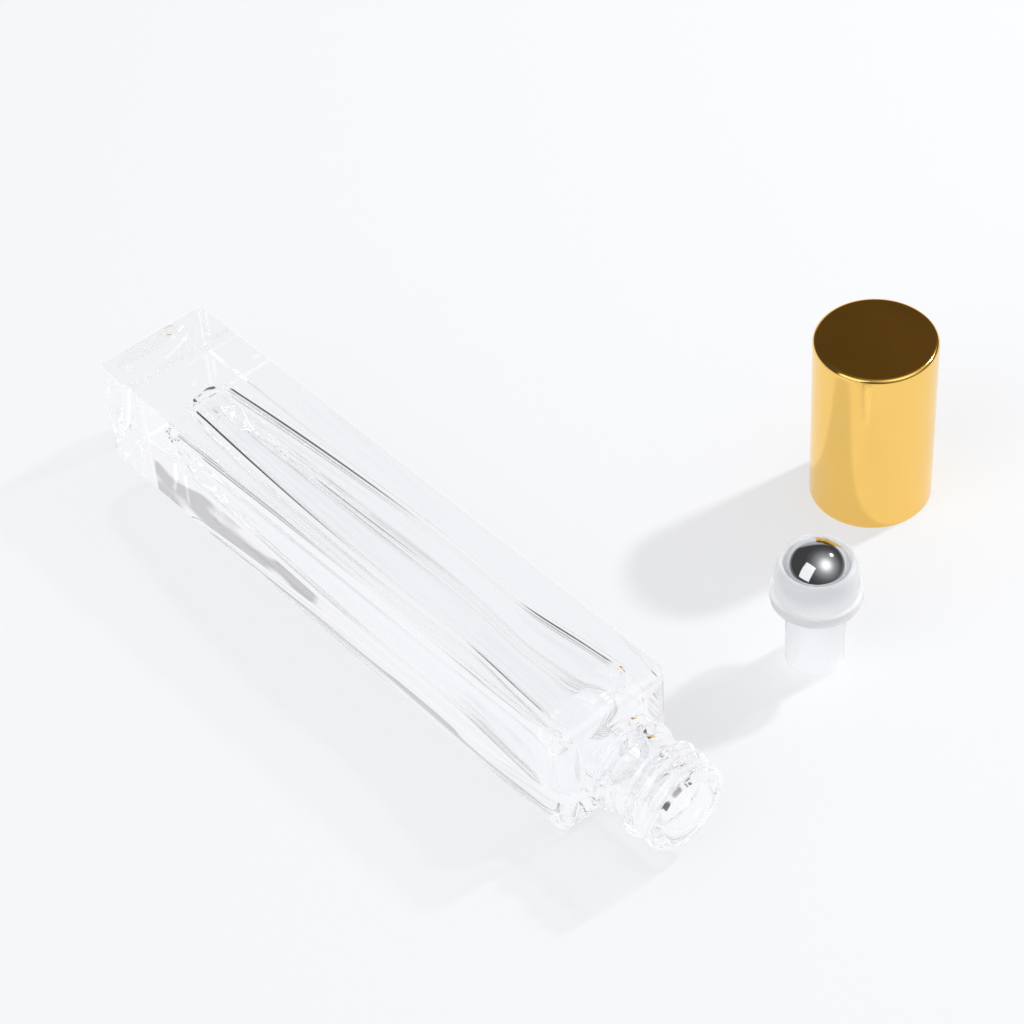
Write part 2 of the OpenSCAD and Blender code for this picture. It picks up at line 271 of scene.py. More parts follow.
def soft_square_ring(half, squareness):
    """Points round a soft square: a squareness of 2 is a circle, and more is nearer a square."""
    def radius_at(angle):
        c, s = abs(math.cos(angle)), abs(math.sin(angle))
        return half / (c ** squareness + s ** squareness) ** (1 / squareness)
    return round_ring(radius_at)


def arc(centre, radius, start, end, steps=ARC_STEPS):
    """Points along an arc, as pairs, with its angles in degrees."""
    angles = [math.radians(start + (end - start) * i / steps) for i in range(steps + 1)]
    return [(centre[0] + radius * math.cos(a), centre[1] + radius * math.sin(a)) for a in angles]


def spread(low, high, steps):
    """Even numbers from low to high."""
    return [low + (high - low) * i / steps for i in range(steps + 1)]


def smooth_step(x):
    """Rises smoothly from 0 to 1 as x does."""
    x = min(1, max(0, x))
    return x * x * (3 - 2 * x)


def thread_height(place, angle, start, pitch, turns, width):
    """Height of a rounded thread from 0 to 1. The angle counts from its start, the place along its axis."""
    height = 0
    for turn in range(math.ceil(turns) + 1):
        wound = angle % (2 * math.pi) / (2 * math.pi) + turn
        away = abs(place - start - pitch * wound)
        if wound > turns or away > width / 2:
            continue
        fade = smooth_step(min(wound / THREAD_FADE, (turns - wound) / THREAD_FADE))
        height = max(height, fade * (0.5 + 0.5 * math.cos(2 * math.pi * away / width)))
    return height


def smooth_greater(a, b, soft):
    """The greater of two numbers, with the change between them rounded off."""
    return (a + b + math.sqrt((a - b) ** 2 + soft ** 2)) / 2


class Rings:
    """A closed skin laid over rings of points, one after another, from pole to pole."""

    def __init__(self, place):
        self.mesh = bmesh.new()
        self.place = place
        self.rings = []

    def add(self, along, pairs):
        made = bmesh.ops.create_circle(
            self.mesh, cap_ends=False, segments=len(pairs), radius=1,
            matrix=Matrix.Translation((0, 0, len(self.rings))),
        )["verts"]
        edges = list({edge for vertex in made for edge in vertex.link_edges})
        self.rings.append((made, edges, [self.place(along, *pair) for pair in pairs]))

    def pole(self, along):
        self.add(along, round_ring(POLE_RADIUS))

    def skin(self, name):
        """Joins the rings while they stand in a plain stack, then moves their points into place."""
        for (_, near, _), (_, far, _) in zip(self.rings, self.rings[1:]):
            bmesh.ops.bridge_loops(self.mesh, edges=near + far)
        for vertices, _, places in self.rings:
            for vertex, point in zip(vertices, places):
                vertex.co = point
        for vertices, _, _ in (self.rings[0], self.rings[-1]):
            middle = sum((v.co for v in vertices), Vector()) / len(vertices)
            bmesh.ops.pointmerge(self.mesh, verts=vertices, merge_co=middle)
        return finished(name, self.mesh)


def turned(name, profile, centre, closed=True):
    """A turned piece: pairs of radius and height are spun round the upright axis through centre."""
    mesh = bmesh.new()
    corners = [mesh.verts.new((centre[0] + r, centre[1], z)) for r, z in profile]
    lines = list(zip(corners, corners[1:])) + ([(corners[-1], corners[0])] if closed else [])
    edges = [mesh.edges.new(pair) for pair in lines]
    bmesh.ops.spin(
        mesh, geom=corners + edges, cent=(centre[0], centre[1], 0), axis=(0, 0, 1), angle=2 * math.pi,
        steps=TURN_STEPS, use_merge=True,
    )
    return finished(name, mesh)


def finished(name, mesh):
    """Turns a bmesh into a smooth object whose faces point outwards."""
    bmesh.ops.remove_doubles(mesh, verts=mesh.verts, dist=MERGE_DISTANCE)
    bmesh.ops.dissolve_degenerate(mesh, edges=mesh.edges, dist=MERGE_DISTANCE)
    bmesh.ops.recalc_face_normals(mesh, faces=mesh.faces)
    if mesh.calc_volume(signed=True) < 0:
        bmesh.ops.reverse_faces(mesh, faces=mesh.faces)
    loose = [edge for edge in mesh.edges if not edge.is_manifold]
    if loose:
        raise RuntimeError(f"{name} isn't closed: {len(loose)} open edges")
    data = bpy.data.meshes.new(name)
    mesh.to_mesh(data)
    mesh.free()
    data.shade_smooth()
    piece = bpy.data.objects.new(name, data)
    bpy.context.scene.collection.objects.link(piece)
    return piece


def put_on(piece, material, body, node):
    """Gives a piece its material, and lets it stand for its CAD node on that node's body."""
    piece.data.materials.append(material)
    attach(piece, body)
    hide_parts(node)


def new_material(name):
    """An empty material and its node tree."""
    material = bpy.data.materials.new(name)
    material.use_nodes = True
    tree = material.node_tree
    tree.nodes.clear()
    return material, tree


def add_node(tree, kind, values=None, links=None, **settings):
    """A node with its settings, the values of its sockets, and links into them."""
    node = tree.nodes.new(kind)
    for key, value in settings.items():
        setattr(node, key, value)
    for key, value in (values or {}).items():
        node.inputs[key].default_value = value
    for key, source in (links or {}).items():
        tree.links.new(source, node.inputs[key])
    return node


def show(tree, shader):
    """Makes a shader the material's surface."""
    add_node(tree, "ShaderNodeOutputMaterial", links={"Surface": shader})


def opaque(rgb):
    """A colour with its fourth number."""
    return (*rgb, 1.0)


def worked_out(tree, operation, one, other):
    """The result of a sum on two sockets, or on a socket and a number."""
    values, links = {}, {0: one}
    (links if isinstance(other, bpy.types.NodeSocket) else values)[1] = other
    return add_node(tree, "ShaderNodeMath", values, links, operation=operation).outputs["Value"]


def mixed_shader(tree, factor, one, other):
    """One shader where a factor is 0, and the other where it is 1."""
    made = add_node(tree, "ShaderNodeMixShader", links={"Fac": factor, 1: one, 2: other})
    return made.outputs["Shader"]


def blended(tree, factor, one, other):
    """One colour where a factor is 0 and the other where it is 1. Each is a socket or a plain colour."""
    values, links = {}, {"Factor": factor}
    for key, shade in (("A", one), ("B", other)):
        (values if isinstance(shade, tuple) else links)[key] = shade
    return add_node(tree, "ShaderNodeMix", values, links, data_type="RGBA").outputs["Result"]


def mottled(tree, rgb, darker, factor):
    """A colour that is darker by a share where a factor is 1."""
    return blended(tree, factor, opaque(rgb), opaque([darker * c for c in rgb]))


def noise(tree, scale, detail=3.0, stretch=(1, 1, 1)):
    """A noise in the object's own coordinates, stretched along its axes."""
    place = add_node(tree, "ShaderNodeTexCoord")
    mapped = add_node(
        tree, "ShaderNodeMapping", {"Scale": stretch}, {"Vector": place.outputs["Object"]}
    )
    made = add_node(
        tree, "ShaderNodeTexNoise", {"Scale": scale, "Detail": detail},
        {"Vector": mapped.outputs["Vector"]},
    )
    return made.outputs["Fac"]


def ranged(tree, source, low, high, start=0.3, end=0.7):
    """A socket's values from start to end, spread from low to high."""
    made = add_node(
        tree, "ShaderNodeMapRange", {"From Min": start, "From Max": end, "To Min": low, "To Max": high},
        {"Value": source},
    )
    return made.outputs["Result"]


def bumped(tree, height, strength, distance):
    """A normal that a height map tilts."""
    made = add_node(
        tree, "ShaderNodeBump", {"Strength": strength, "Distance": distance}, {"Height": height}
    )
    return made.outputs["Normal"]


def clear_glass(settings):
    """Clear pressed glass with faint ripples. It lets lamps through, more where they meet it squarely."""
    material, tree = new_material("clear_glass")
    ripples = noise(tree, scale=70, detail=1)
    smears = noise(tree, scale=160)
    glass = add_node(
        tree, "ShaderNodeBsdfPrincipled",
        {"Base Color": opaque(settings.tint), "IOR": 1.52, "Transmission Weight": 1.0},
        {
            "Normal": bumped(tree, ripples, settings.ripple, distance=0.1 * MM),
            "Roughness": ranged(tree, smears, low=0.0, high=0.004),
        },
    )
    slope = add_node(tree, "ShaderNodeLayerWeight", {"Blend": 0.3})
    squarely = ranged(tree, slope.outputs["Facing"], low=0.99, high=0.7, start=0.1, end=0.9)
    path = add_node(tree, "ShaderNodeLightPath")
    held = add_node(
        tree, "ShaderNodeMath", {1: -settings.shadow, 2: 1.0}, {0: path.outputs["Is Shadow Ray"]},
        operation="MULTIPLY_ADD",
    )
    let_through = worked_out(tree, "MULTIPLY", squarely, held.outputs["Value"])
    through = add_node(tree, "ShaderNodeBsdfTransparent", links={"Color": let_through})
    straight = worked_out(
        tree, "MAXIMUM", path.outputs["Is Shadow Ray"], path.outputs["Is Diffuse Ray"]
    )
    show(tree, mixed_shader(tree, straight, glass.outputs["BSDF"], through.outputs["BSDF"]))
    return material


def milky_plastic(settings):
    """Translucent moulded plastic, which shows the dark ball faintly and lets part of a lamp's light by. Its
    glow is painted.
    """
    material, tree = new_material("milky_plastic")
    cloud = noise(tree, scale=300, detail=2)
    satin = noise(tree, scale=900)
    waves = noise(tree, scale=90, detail=1)
    # Painted glow: the emission makes the plastic give off a little milky light of its own
    plastic = add_node(
        tree, "ShaderNodeBsdfPrincipled",
        {
            "IOR": 1.3, "Transmission Weight": 1 - settings.body,
            "Emission Color": opaque(settings.milk), "Emission Strength": settings.painted_glow,
        },
        {
            "Base Color": mottled(tree, settings.milk, 0.985, cloud),
            "Normal": bumped(tree, waves, strength=0.03, distance=0.01 * MM),
            "Roughness": ranged(tree, satin, low=0.42, high=0.5),
        },
    )
    through = add_node(tree, "ShaderNodeBsdfTransparent", {"Color": opaque([0.5] * 3)})
    shadow_ray = add_node(tree, "ShaderNodeLightPath").outputs["Is Shadow Ray"]
    show(tree, mixed_shader(tree, shadow_ray, plastic.outputs["BSDF"], through.outputs["BSDF"]))
    return material


def polished_steel(settings):
    """Mirror-polished steel with the fine marks of rolling."""
    material, tree = new_material("polished_steel")
    marks = noise(tree, scale=1500, detail=4, stretch=(1, 0.15, 1))
    steel = add_node(
        tree, "ShaderNodeBsdfPrincipled", {"Base Color": opaque(settings.steel), "Metallic": 1.0},
        {
            "Roughness": ranged(tree, marks, low=0.04, high=0.1),
            "Normal": bumped(tree, marks, strength=0.05, distance=0.003 * MM),
        },
    )
    show(tree, steel.outputs["BSDF"])
    return material


def bright_gold(settings):
    """Bright anodised metal with the faint lines of drawing up its side, and a few smudges. Its darker top
    is painted shade.
    """
    material, tree = new_material("bright_gold")
    lines = noise(tree, scale=1800, detail=2, stretch=(1, 1, 0.04))
    smudges = noise(tree, scale=140)
    side = mottled(tree, settings.gold, 0.95, smudges)
    # Painted shade: where the shell faces up its gold turns darker, standing in for the dark ceiling it
    # reflects
    place = add_node(tree, "ShaderNodeTexCoord")
    faces = add_node(tree, "ShaderNodeSeparateXYZ", links={"Vector": place.outputs["Normal"]})
    painted_shade_mask = ranged(tree, faces.outputs["Z"], low=0, high=1, start=0.8, end=1)
    metal = add_node(
        tree, "ShaderNodeBsdfPrincipled", {"Metallic": 1.0},
        {
            "Base Color": blended(tree, painted_shade_mask, side, opaque(settings.painted_top_shade)),
            "Roughness": ranged(tree, smudges, low=0.1, high=0.16),
            "Normal": bumped(tree, lines, strength=0.06, distance=0.004 * MM),
        },
    )
    show(tree, metal.outputs["BSDF"])
    return material


def white_plastic(settings):
    """White moulded plastic with a fine satin grain."""
    material, tree = new_material("white_plastic")
    grain = noise(tree, scale=1200, detail=4)
    cloud = noise(tree, scale=90, detail=2)
    plastic = add_node(
        tree, "ShaderNodeBsdfPrincipled",
        {
            "IOR": 1.49, "Subsurface Weight": 0.3, "Subsurface Radius": (1.0, 1.0, 0.9),
            "Subsurface Scale": 0.5 * MM,
        },
        {
            "Base Color": mottled(tree, settings.liner, 0.94, cloud),
            "Roughness": ranged(tree, grain, low=0.38, high=0.5),
            "Normal": bumped(tree, grain, strength=0.1, distance=0.01 * MM),
        },
    )
    show(tree, plastic.outputs["BSDF"])
    return material


def bottle_neck_radius(settings, place, angle):
    """Outside of the neck at a place above the shoulder: its bead, its thread and the start of its lip."""
    root = settings.neck_diameter / 2
    bead_centre = settings.bead_diameter / 2 - settings.bead_radius
    off = abs(place - settings.bead_place)
    bead = bead_centre + math.sqrt(max(0, settings.bead_radius ** 2 - off ** 2))
    lip_start = settings.neck_length - settings.lip_height
    lip_rise = 0.5 * MM
    lip = root + (settings.lip_diameter / 2 - root) * smooth_step((place - lip_start) / lip_rise + 0.5)
    ridge = settings.thread_diameter / 2 - root
    thread = root + ridge * thread_height(
        place, angle + math.pi / 2, settings.thread_start, settings.thread_pitch,
        settings.thread_turns, settings.thread_width,
    )
    soft, fine = 0.2 * MM, 0.05 * MM
    band = smooth_greater(smooth_greater(root, bead, soft) - soft / 2, root, fine)
    return max(min(band, settings.bead_diameter / 2), lip, thread)


def build_glass_bottle(settings):
    """The bottle as one closed skin, from the dish in its foot over its neck to the cavity's nose."""
    low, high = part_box("glass_bottle")
    half = (high.z - low.z) / 2
    axis_z = (high.z + low.z) / 2
    body_length = high.x - low.x - settings.neck_length
    bore = mount("neck_bore")["dims"]["r_mm"] * MM

    rings = Rings(lambda along, across, up: Vector((low.x + along, across, axis_z + up)))
    add_foot(rings, settings, half)
    add_body(rings, settings, half, body_length)
    add_neck(rings, settings, body_length, bore)
    add_cavity(rings, settings, half, body_length, bore)
    return rings.skin("bottle")


def add_foot(rings, settings, half):
    """The dish in the foot, the flat round it, and the rounded edges of the foot."""
    dish = settings.dish_diameter / 2
    depth = settings.dish_depth
    ball = (dish ** 2 + depth ** 2) / (2 * depth)
    soft = 0.08 * MM
    innermost, outermost = 0.06 * dish, dish + 3 * soft
    rings.pole(depth)
    for radius in spread(innermost, outermost, DISH_RINGS):
        dished = math.sqrt(ball ** 2 - radius ** 2) - (ball - depth)
        rings.add(smooth_greater(dished, 0, soft), round_ring(radius))
    edge = settings.foot_edge_radius
    flat = half - edge
    rings.add(0, ring_outline(flat - EDGE_GUARD / 4, settings.edge_radius))
    for angle in spread(0, math.pi / 2, ARC_STEPS):
        outline = ring_outline(flat + edge * math.sin(angle), settings.edge_radius)
        rings.add(edge * (1 - math.cos(angle)), outline)


def add_body(rings, settings, half, body_length):
    """The square sides, and the rounded edges of the shoulder."""
    foot, edge = settings.foot_edge_radius, settings.shoulder_edge_radius
    sides = spread(3 * foot, body_length - 3 * edge, SIDE_RINGS)
    for station in [foot + EDGE_GUARD, *sides, body_length - edge - EDGE_GUARD]:
        rings.add(station, ring_outline(half, settings.edge_radius))
    flat = half - edge
    for angle in spread(math.pi / 2, 0, ARC_STEPS):
        along = body_length - edge * (1 - math.cos(angle))
        rings.add(along, ring_outline(flat + edge * math.sin(angle), settings.edge_radius))
    rings.add(body_length, ring_outline(flat - EDGE_GUARD / 4, settings.edge_radius))


def add_neck(rings, settings, body_length, bore):
    """The neck from its root over the bead and the thread to the rounded lip, and in to the bore."""
    root = settings.neck_diameter / 2
    fillet = 0.5 * MM
    neck = settings.neck_length
    rings.add(body_length, round_ring(root + fillet + EDGE_GUARD))
    for r, along in arc((root + fillet, fillet), fillet, -90, -180):
        rings.add(body_length + along, round_ring(r))
    lip_centre = settings.lip_diameter / 2 - settings.lip_radius
    first, last = fillet + 0.1 * MM, neck - settings.lip_radius - 0.05 * MM
    for place in spread(first, last, NECK_RINGS):
        rings.add(body_length + place, round_ring(lambda a: bottle_neck_radius(settings, place, a)))
    for r, along in arc((lip_centre, neck - settings.lip_radius), settings.lip_radius, 0, 90):
        rings.add(body_length + along, round_ring(r))
    mouth = settings.mouth_radius
    for r, along in arc((bore + mouth, neck - mouth), mouth, 90, 180):
        rings.add(body_length + along, round_ring(r))
    bore_end = 0.5 * MM
    for along in spread(neck - mouth - EDGE_GUARD, bore_end, BORE_RINGS):
        rings.add(body_length + along, round_ring(bore))


def add_cavity(rings, settings, half, body_length, bore):
    """The space for the liquid, from the bore's end over its widest place to the nose above the foot."""
    foot_half = half - settings.wall_foot
    middle_half = half - settings.wall_middle
    top_half = half - settings.wall_top
    end_half = 0.8 * bore
    main_start = settings.foot_thickness + settings.nose_length
    end = body_length - settings.shoulder_thickness
    main_end = end - settings.inner_shoulder
    turn = math.radians(66)

    start, start_half, start_square = inner_shoulder_ring(settings, turn, main_end, end_half, top_half)
    funnel = 0.7 * MM
    for t in spread(0, 1, ARC_STEPS)[:-1]:
        along = curve_between(end + funnel, end, start, t)
        radius = curve_between(bore, bore, start_half, t)
        rings.add(along, soft_square_ring(radius, ROUND + (start_square - ROUND) * t))
    for angle in spread(turn, 0, INNER_SHOULDER_RINGS):
        along, radius, squareness = inner_shoulder_ring(settings, angle, main_end, end_half, top_half)
        rings.add(along, soft_square_ring(radius, squareness))
    for u in spread(1, 0, CAVITY_RINGS)[1:]:
        along = main_start + u * (main_end - main_start)
        radius = cavity_half(settings, u, foot_half, middle_half, top_half)
        squareness = SQUARE_NOSE + (SQUARE_BODY - SQUARE_NOSE) * u
        rings.add(along, soft_square_ring(radius, squareness))
    for angle in spread(math.pi / 2, 0, NOSE_RINGS)[1:-1]:
        along = settings.foot_thickness + settings.nose_length * (1 - math.cos(angle))
        rings.add(along, soft_square_ring(foot_half * math.sin(angle), SQUARE_NOSE))
    rings.pole(settings.foot_thickness)


def curve_between(start, pull, end, t):
    """A smooth curve from start to end that leaves towards pull, as t goes from 0 to 1."""
    return (1 - t) ** 2 * start + 2 * t * (1 - t) * pull + t ** 2 * end


def inner_shoulder_ring(settings, angle, main_end, end_half, top_half):
    """Place, half width and squareness of the cavity where it draws in. The angle is 0 at its wide end."""
    drawn = math.cos(angle)
    return (
        main_end + settings.inner_shoulder * math.sin(angle),
        end_half + (top_half - end_half) * drawn,
        ROUND + (SQUARE_BODY - ROUND) * drawn,
    )


def cavity_half(settings, u, foot_half, middle_half, top_half):
    """Half width of the cavity, by a share that is 0 at its nose and 1 at its wide end."""
    opening_power, flare_power, waist_place_power, waist_power = 3, 12, 2.5, 4
    opened = (middle_half - foot_half) * (1 - (1 - u) ** opening_power)
    waist = settings.waist_depth * math.sin(math.pi * u ** waist_place_power) ** waist_power
    flare = (top_half - middle_half) * u ** flare_power
    return foot_half + opened - waist + flare


def build_roller_housing(settings):
    """The housing: a hollow stem, the flange that seats on the lip, and the dome that grips the ball."""
    low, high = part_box("roller_housing")
    ball_low, ball_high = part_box("steel_ball")
    centre = ((low.x + high.x) / 2, (low.y + high.y) / 2)
    ball_z = (ball_low.z + ball_high.z) / 2
    socket = (ball_high.z - ball_low.z) / 2 + settings.ball_gap
    stem = mount("plug_stem")["dims"]["r_mm"] * MM
    flange = (high.x - low.x) / 2
    dome = settings.dome_diameter / 2
    duct = stem - settings.stem_wall
    lip = (dome - socket) / 2
    lip_centre_r = settings.mouth_diameter / 2 + lip
    lip_angle = math.degrees(math.acos(lip_centre_r / (socket + lip)))
    lip_centre = (lip_centre_r, ball_z + (socket + lip) * math.sin(math.radians(lip_angle)))
    seat = settings.stem_length
    top = seat + settings.flange_thickness
    edge = settings.flange_radius
    fillet = 0.15 * MM
    small = 0.08 * MM
    duct_angle = math.degrees(math.acos(duct / socket))

    profile = arc((duct + small, small), small, 180, 270, steps=3)
    profile += arc((stem - settings.stem_lead, small), small, 270, 315, steps=2)
    profile += [(stem, settings.stem_lead), (stem, settings.stem_lead + EDGE_GUARD)]
    profile += arc((stem + fillet, seat - fillet), fillet, 180, 90, steps=3)
    profile += arc((flange - edge, seat + edge), edge, 270, 360)
    profile += arc((flange - edge, top - edge), edge, 0, 90)
    profile += arc((dome + fillet, top + fillet), fillet, 270, 180, steps=3)
    profile += [(dome, ball_z - EDGE_GUARD)]
    profile += arc((0, ball_z), dome, 0, lip_angle, steps=10)
    profile += arc(lip_centre, lip, lip_angle, lip_angle + 180, steps=16)[1:]
    profile += arc((0, ball_z), socket, lip_angle, -duct_angle, steps=24)[1:]
    profile += [(duct, ball_z - socket * math.sin(math.radians(duct_angle)) - EDGE_GUARD)]
    return turned("roller_housing_milky", profile, centre)


def build_steel_ball():
    """The ball, which sits in the housing with a small gap all round."""
    low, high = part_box("steel_ball")
    mesh = bmesh.new()
    bmesh.ops.create_icosphere(mesh, subdivisions=BALL_SUBDIVISIONS, radius=(high.z - low.z) / 2)
    bmesh.ops.translate(mesh, verts=mesh.verts, vec=(low + high) / 2)
    return finished("steel_ball_polished", mesh)


def build_cap_shell(settings):
    """The shell: a drawn cup with a rounded top edge, standing on its open end."""
    low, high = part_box("cap_shell")
    centre = ((low.x + high.x) / 2, (low.y + high.y) / 2)
    outside = (high.x - low.x) / 2
    top = high.z
    edge = settings.shell_radius
    wall = settings.shell_thickness
    inner = edge - wall
    hem = 0.12 * MM
    flat_end = outside - edge - EDGE_GUARD
    profile = [(0, top), (flat_end - 7 * EDGE_GUARD, top), (flat_end, top)]
    profile += arc((outside - edge, top - edge), edge, 90, 0, steps=12)
    profile += [(outside, top - edge - EDGE_GUARD), (outside, hem + EDGE_GUARD)]
    profile += arc((outside - hem, hem), hem, 0, -90, steps=4)
    profile += arc((outside - wall + hem, hem), hem, 270, 180, steps=4)
    profile += [(outside - wall, hem + EDGE_GUARD), (outside - wall, top - edge - EDGE_GUARD)]
    profile += arc((outside - edge, top - edge), inner, 0, 90, steps=5)
    profile += [(flat_end, top - wall), (0, top - wall)]
    return turned("cap_shell_gold", profile, centre, closed=False)


def build_cap_liner(settings, thread):
    """The liner: a sleeve with an inner thread, a flat top, and the ring that presses on the ball."""
    low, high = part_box("cap_liner")
    centre = ((low.x + high.x) / 2, (low.y + high.y) / 2)
    outside = (high.x - low.x) / 2
    bore = settings.liner_bore / 2
    crest = settings.liner_thread / 2
    ceiling = high.z - settings.top_thickness
    ring = settings.ring_diameter / 2
    hole = ring - settings.ring_thickness
    edge = 0.3 * MM
    small = 0.12 * MM
    middle_ring = 0.3 * outside

    rings = Rings(lambda along, across, over: Vector((centre[0] + across, centre[1] + over, along)))
    line = [(middle_ring, high.z), (outside - edge - EDGE_GUARD, high.z)]
    line += arc((outside - edge, high.z - edge), edge, 90, 0)
    line += [(outside, high.z - edge - EDGE_GUARD), (outside, low.z + small + EDGE_GUARD)]
    line += arc((outside - small, low.z + small), small, 0, -90, steps=4)
    line += [(bore + settings.lead + small, low.z), (bore + settings.lead, low.z + 0.4 * small)]
    line += [(bore, low.z + settings.lead), (bore, low.z + settings.lead + EDGE_GUARD)]
    rings.pole(high.z)
    for radius, place in line:
        rings.add(place, round_ring(radius))
    depth = bore - crest
    end = settings.thread_place + thread.thread_pitch * settings.thread_turns + thread.thread_width / 2

    def bore_radius(place, angle):
        return bore - depth * thread_height(
            place, angle, settings.thread_place, thread.thread_pitch, settings.thread_turns,
            thread.thread_width,
        )

    for place in spread(settings.thread_place - thread.thread_width / 2, end, LINER_THREAD_RINGS):
        rings.add(place, round_ring(lambda a: bore_radius(place, a)))
    line = [(bore, end + EDGE_GUARD)]
    line += arc((bore - edge, ceiling - edge), edge, 0, 90)
    line += arc((ring + edge, ceiling - edge), edge, 90, 180)
    line += arc((ring - small, settings.ring_end + small), small, 0, -90, steps=4)
    line += arc((hole + small, settings.ring_end + small), small, -90, -180, steps=4)
    line += arc((hole - edge, ceiling - edge), edge, 0, 90)
    for radius, place in line:
        rings.add(place, round_ring(radius))
    rings.pole(ceiling)
    return rings.skin("cap_liner_white")


def mount(name):
    """One of the record's mounts."""
    return next(m for m in frame["record"]["mounts"] if m["name"] == name)


def camera_axes(settings):
    """The camera's right, up and back directions."""
    azimuth, elevation, roll = settings.camera_azimuth, settings.camera_elevation, settings.camera_roll
    right = Vector((math.cos(azimuth), math.sin(azimuth), 0))
    level = math.cos(elevation)
    back = Vector((math.sin(azimuth) * level, -math.cos(azimuth) * level, math.sin(elevation)))
    up = back.cross(right)
    return (
        right * math.cos(roll) + up * math.sin(roll),
        up * math.cos(roll) - right * math.sin(roll),
        back,
    )


def set_camera(settings):
    """The camera at the photograph's place, with the photograph's lean."""
    right, up, back = camera_axes(settings)
    data = bpy.data.cameras.new("camera")
    data.lens = settings.lens
    data.sensor_width = SENSOR_WIDTH
    data.clip_start = 10 * MM
    data.clip_end = 100
    camera = bpy.data.objects.new("camera", data)
    bpy.context.scene.collection.objects.link(camera)
    target = Vector((settings.target_x, settings.target_y, 0))
    camera.matrix_world = place_matrix(target + back * settings.camera_distance, right, up, back)
    bpy.context.scene.camera = camera


def place_matrix(place, right, up, back):
    """A matrix whose columns are those directions and that place."""
    return Matrix((
        (right.x, up.x, back.x, place.x),
        (right.y, up.y, back.y, place.y),
        (right.z, up.z, back.z, place.z),
        (0, 0, 0, 1),
    ))


def add_lamp(name, direction, size, power, target):
    """A flat white lamp that faces target from a direction."""
    data = bpy.data.lights.new(name, "AREA")
    data.shape = "RECTANGLE"
    data.size, data.size_y = size
    data.energy = power
    lamp = bpy.data.objects.new(name, data)
    bpy.context.scene.collection.objects.link(lamp)
    back = Vector(direction).normalized()
    right = Vector((0, 0, 1)).cross(back).normalized()
    lamp.matrix_world = place_matrix(target + back * LAMP_DISTANCE, right, back.cross(right), back)


def build_floor(settings):
    """A wide pale floor. The camera, metal and glass see part of its colour whatever the light is."""
    mesh = bmesh.new()
    bmesh.ops.create_circle(mesh, cap_ends=True, segments=96, radius=FLOOR_RADIUS)
    bmesh.ops.translate(mesh, verts=mesh.verts, vec=(0, 0, -FLOOR_DEPTH))
    data = bpy.data.meshes.new("floor")
    mesh.to_mesh(data)
    mesh.free()
    floor = bpy.data.objects.new("floor", data)
    bpy.context.scene.collection.objects.link(floor)

    material, tree = new_material("pale_floor")
    lit = add_node(tree, "ShaderNodeBsdfDiffuse", {"Color": opaque(settings.floor)})
    own = add_node(tree, "ShaderNodeEmission", {"Color": opaque(settings.backdrop), "Strength": 1.0})
    shown = seen_directly(tree, settings)
    show(tree, mixed_shader(tree, shown, lit.outputs["BSDF"], own.outputs["Emission"]))
    data.materials.append(material)


def seen_directly(tree, settings):
    """How much of its own colour the floor shows: none to the rays that carry light, most through glass.

    It grows with the distance, where the lamps' light fades.
    """
    path = add_node(tree, "ShaderNodeLightPath")
    outside = worked_out(tree, "MAXIMUM", path.outputs["Is Camera Ray"], path.outputs["Is Glossy Ray"])
    place = add_node(tree, "ShaderNodeTexCoord")
    away = add_node(
        tree, "ShaderNodeVectorMath", links={0: place.outputs["Object"]}, operation="LENGTH"
    )
    share_there = ranged(tree, away.outputs["Value"], settings.glow, 1, FADE_START, FADE_END)
    plain = worked_out(tree, "MULTIPLY", outside, share_there)
    glass = worked_out(tree, "MULTIPLY", path.outputs["Is Transmission Ray"], settings.glass_glow)
    return worked_out(tree, "MAXIMUM", plain, glass)


def ramp_of(tree, source, stops):
    """A grey that changes with a number: stops are pairs of the number and the grey."""
    ramp = add_node(tree, "ShaderNodeValToRGB", links={"Fac": source})
    elements = ramp.color_ramp.elements
    while len(elements) < len(stops):
        elements.new(0.5)
    for element, (place, grey) in zip(elements, stops):
        element.position = place
        element.color = opaque([grey] * 3)
    return ramp.outputs["Color"]


def patch_of(tree, place, patch):
    """A patch of the studio: its direction, and its greys by the nearness of that direction."""
    direction, stops = patch
    near = add_node(
        tree, "ShaderNodeVectorMath", {1: Vector(direction).normalized()},
        {0: place.outputs["Generated"]}, operation="DOT_PRODUCT",
    )
    return ramp_of(tree, near.outputs["Value"], stops)


def combined(tree, how, one, other):
    """Two colours multiplied or added."""
    made = add_node(
        tree, "ShaderNodeMix", {"Factor": 1.0}, {"A": one, "B": other}, data_type="RGBA", blend_type=how
    )
    return made.outputs["Result"]


def set_light_paths(scene):
    """Lets light run along the glass walls. With fewer bounces the shoulder and the bore turn black."""
    scene.cycles.max_bounces = LIGHT_BOUNCES
    scene.cycles.glossy_bounces = LIGHT_BOUNCES
    scene.cycles.transmission_bounces = LIGHT_BOUNCES
    scene.cycles.transparent_max_bounces = LIGHT_BOUNCES


def studio_for_metal(tree, place):
    """Pale at the horizon and darker overhead, with a pale far wall and the glow round the lamp."""
    height = add_node(tree, "ShaderNodeSeparateXYZ", links={"Vector": place.outputs["Generated"]})
    ceiling = ramp_of(tree, height.outputs["Z"], CEILING)
    glow = add_node(
        tree, "ShaderNodeVectorMath", {"Scale": LAMP_GLOW_STRENGTH}, {0: patch_of(tree, place, LAMP_GLOW)},
        operation="SCALE",
    )
    walls = combined(tree, "ADD", ceiling, patch_of(tree, place, FAR_WALL))
    return combined(tree, "ADD", walls, glow.outputs["Vector"])


def studio_for_glass(tree, place):
    """A pale wall with the darker patches whose images are the lines in the glass."""
    strip = patch_of(tree, place, STRIP)
    studio = blended(tree, strip, opaque([PALE_WALL] * 3), patch_of(tree, place, STRIP_EDGE))
    for patch in (NEAR_LINE, BOTTOM_LINE, FAR_LINE):
        studio = combined(tree, "MULTIPLY", studio, patch_of(tree, place, patch))
    return studio


